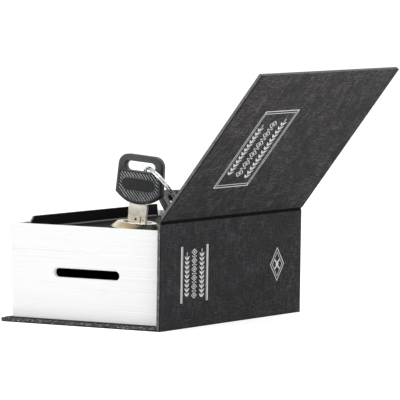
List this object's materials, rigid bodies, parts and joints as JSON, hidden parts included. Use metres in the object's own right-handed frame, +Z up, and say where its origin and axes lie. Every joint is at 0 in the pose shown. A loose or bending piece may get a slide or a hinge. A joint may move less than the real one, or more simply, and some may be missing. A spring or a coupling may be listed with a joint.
{
  "type": "book diversion safe",
  "caption": "Book-shaped diversion safe lying flat, cover swung open on its spine: a steel lid ajar over a cash box, a key in its cam lock and a coin slot in the page block.",
  "frame": {"origin": "centre of the book's underside, on the surface that it lies on", "axes": "+Z up, +X towards the spine, -Y towards the end of the pages that has the coin slot"},
  "size_m": [0.1225, 0.118, 0.1066],
  "materials": {
    "paper": "printed leatherette paper, near-black, fine grain, satin",
    "board": "grey board, matt",
    "lining": "black lining paper, matt",
    "cloth": "black bookbinding cloth",
    "pages": "white moulded plastic with fine page grooves",
    "black_steel": "black enamel, satin",
    "zinc": "bright zinc plate",
    "chrome": "bright chrome plate",
    "brass": "plain brass",
    "nickel": "nickel plate, satin",
    "bow_plastic": "dark grey moulded plastic, satin"
  },
  "bodies": {
    "book": {"back_wrap": "paper", "back_board": "board", "back_lining": "lining", "spine_board": "board", "spine_wrap": "paper", "joint_cloth": "cloth", "page_block": "pages", "cash_box": "black_steel", "box_rivet_1": "zinc", "box_rivet_2": "zinc", "box_rivet_3": "zinc", "box_rivet_4": "zinc", "catch": "black_steel", "hinge_leaf_box": "zinc", "box_leaf_rivet_1": "zinc", "box_leaf_rivet_2": "zinc", "box_leaf_rivet_3": "zinc", "hinge_pin": "zinc"},
    "cover": {"front_board": "board", "front_lining": "lining", "front_wrap": "paper"},
    "lid": {"lid": "black_steel", "hinge_leaf_lid": "zinc", "lid_leaf_rivet_1": "black_steel", "lid_leaf_rivet_2": "black_steel", "lid_leaf_rivet_3": "black_steel", "lock_body": "chrome", "lock_nut": "zinc"},
    "plug": {"lock_plug": "chrome", "wafer_1": "brass", "wafer_2": "brass", "wafer_3": "brass", "wafer_4": "brass", "cam": "zinc", "cam_washer": "zinc", "cam_screw": "zinc"},
    "key": {"key_blade": "nickel", "key_bow": "bow_plastic"},
    "ring": {"split_ring": "zinc"},
    "spare_key": {"spare_key_blade": "nickel", "spare_key_bow": "bow_plastic"}
  },
  "joints": [
    {"name": "cover_hinge", "type": "hinge", "parent": "book", "child": "cover", "pos_m": [0.03825, 0, 0.0445], "axis": [0, 1, 0], "range_deg": [-85, 83], "deforming": ["joint_cloth"]},
    {"name": "lid_hinge", "type": "hinge", "parent": "book", "child": "lid", "pos_m": [0.0307, 0, 0.0335], "axis": [0, 1, 0], "range_deg": [-4.5, 60]},
    {"name": "lock_turn", "type": "hinge", "parent": "lid", "child": "plug", "pos_m": [-0.00715, -0.0023, 0.03688], "axis": [0.0785, 0, 0.9969], "range_deg": [0, 90]},
    {"name": "key_pull", "type": "slide", "parent": "plug", "child": "key", "axis": [0.0785, 0, 0.9969], "range_m": [0, 0.017]},
    {"name": "ring_swing", "type": "hinge", "parent": "key", "child": "ring", "pos_m": [-0.00224, -0.0023, 0.06288], "axis": [0, -1, 0], "range_deg": [0, 12]},
    {"name": "spare_swing", "type": "hinge", "parent": "ring", "child": "spare_key", "pos_m": [0.00697, 0.0074, 0.04448], "axis": [0.6984, -0.7128, 0.0644], "range_deg": [0, 8]}
  ]
}
